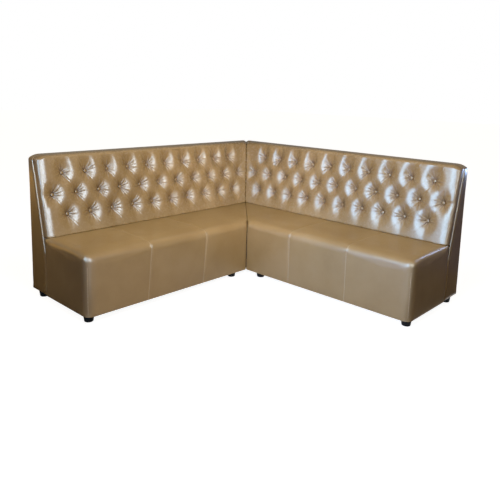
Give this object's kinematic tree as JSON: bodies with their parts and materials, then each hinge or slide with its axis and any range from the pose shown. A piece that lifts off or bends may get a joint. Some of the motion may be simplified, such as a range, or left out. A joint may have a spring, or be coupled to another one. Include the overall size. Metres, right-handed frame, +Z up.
{
  "type": "corner sofa",
  "caption": "L-shaped corner sofa of mirrored upholstered modules that meet at a mitre, with box seats, leaning button-tufted backs and short round feet.",
  "frame": {"origin": "on the floor under the centre of the sofa's bounding box", "axes": "+Z up; the left wing's back faces -X and the right wing's back faces +Y, so the open side of the corner faces +X and -Y"},
  "size_m": [2.15, 2.15, 1],
  "materials": {
    "leatherette": "pearl semi-gloss",
    "button_leatherette": "pearl semi-gloss",
    "foam": "open cell foam",
    "frame_wood": "raw board",
    "tie_board": "hardboard",
    "lining_cloth": "non-woven cloth",
    "twine": "waxed twine",
    "foot_plastic": "moulded",
    "steel": "zinc plated"
  },
  "bodies": {
    "left_module": {"left_seat_front_panel": "frame_wood", "left_seat_rear_panel": "frame_wood", "left_seat_end_panel": "frame_wood", "left_seat_mitre_panel": "frame_wood", "left_seat_ribs": "frame_wood", "left_seat_deck": "frame_wood", "left_seat_cover": "leatherette", "left_seat_foam": "foam", "left_back_outer_cheek": "frame_wood", "left_back_mitre_cheek": "frame_wood", "left_back_ribs": "frame_wood", "left_back_front_panel": "frame_wood", "left_back_rails": "frame_wood", "left_back_board": "tie_board", "left_back_foam": "foam", "left_tufted_pad": "leatherette", "left_buttons": "button_leatherette", "left_button_ties": "twine", "left_cheek_cover": "leatherette", "left_rear_cover": "leatherette", "left_mitre_lining": "lining_cloth", "left_foot_front_outer": "foot_plastic", "left_foot_rear_outer": "foot_plastic", "left_foot_front_mitre": "foot_plastic", "left_foot_rear_mitre": "foot_plastic", "left_foot_blocks": "frame_wood", "left_dust_cover": "lining_cloth", "left_joining_bolts": "steel", "left_connector_pins": "steel"},
    "right_module": {"right_seat_front_panel": "frame_wood", "right_seat_rear_panel": "frame_wood", "right_seat_end_panel": "frame_wood", "right_seat_mitre_panel": "frame_wood", "right_seat_ribs": "frame_wood", "right_seat_deck": "frame_wood", "right_seat_cover": "leatherette", "right_seat_foam": "foam", "right_back_outer_cheek": "frame_wood", "right_back_mitre_cheek": "frame_wood", "right_back_ribs": "frame_wood", "right_back_front_panel": "frame_wood", "right_back_rails": "frame_wood", "right_back_board": "tie_board", "right_back_foam": "foam", "right_tufted_pad": "leatherette", "right_buttons": "button_leatherette", "right_button_ties": "twine", "right_cheek_cover": "leatherette", "right_rear_cover": "leatherette", "right_mitre_lining": "lining_cloth", "right_foot_front_outer": "foot_plastic", "right_foot_rear_outer": "foot_plastic", "right_foot_front_mitre": "foot_plastic", "right_foot_rear_mitre": "foot_plastic", "right_foot_blocks": "frame_wood", "right_dust_cover": "lining_cloth", "right_joining_bolts": "steel", "right_connector_sockets": "steel"}
  },
  "joints": [
    {"name": "module_pull", "type": "slide", "parent": "left_module", "child": "right_module", "axis": [0.7071, 0.7071, 0], "range_m": [0, 0.25]}
  ]
}
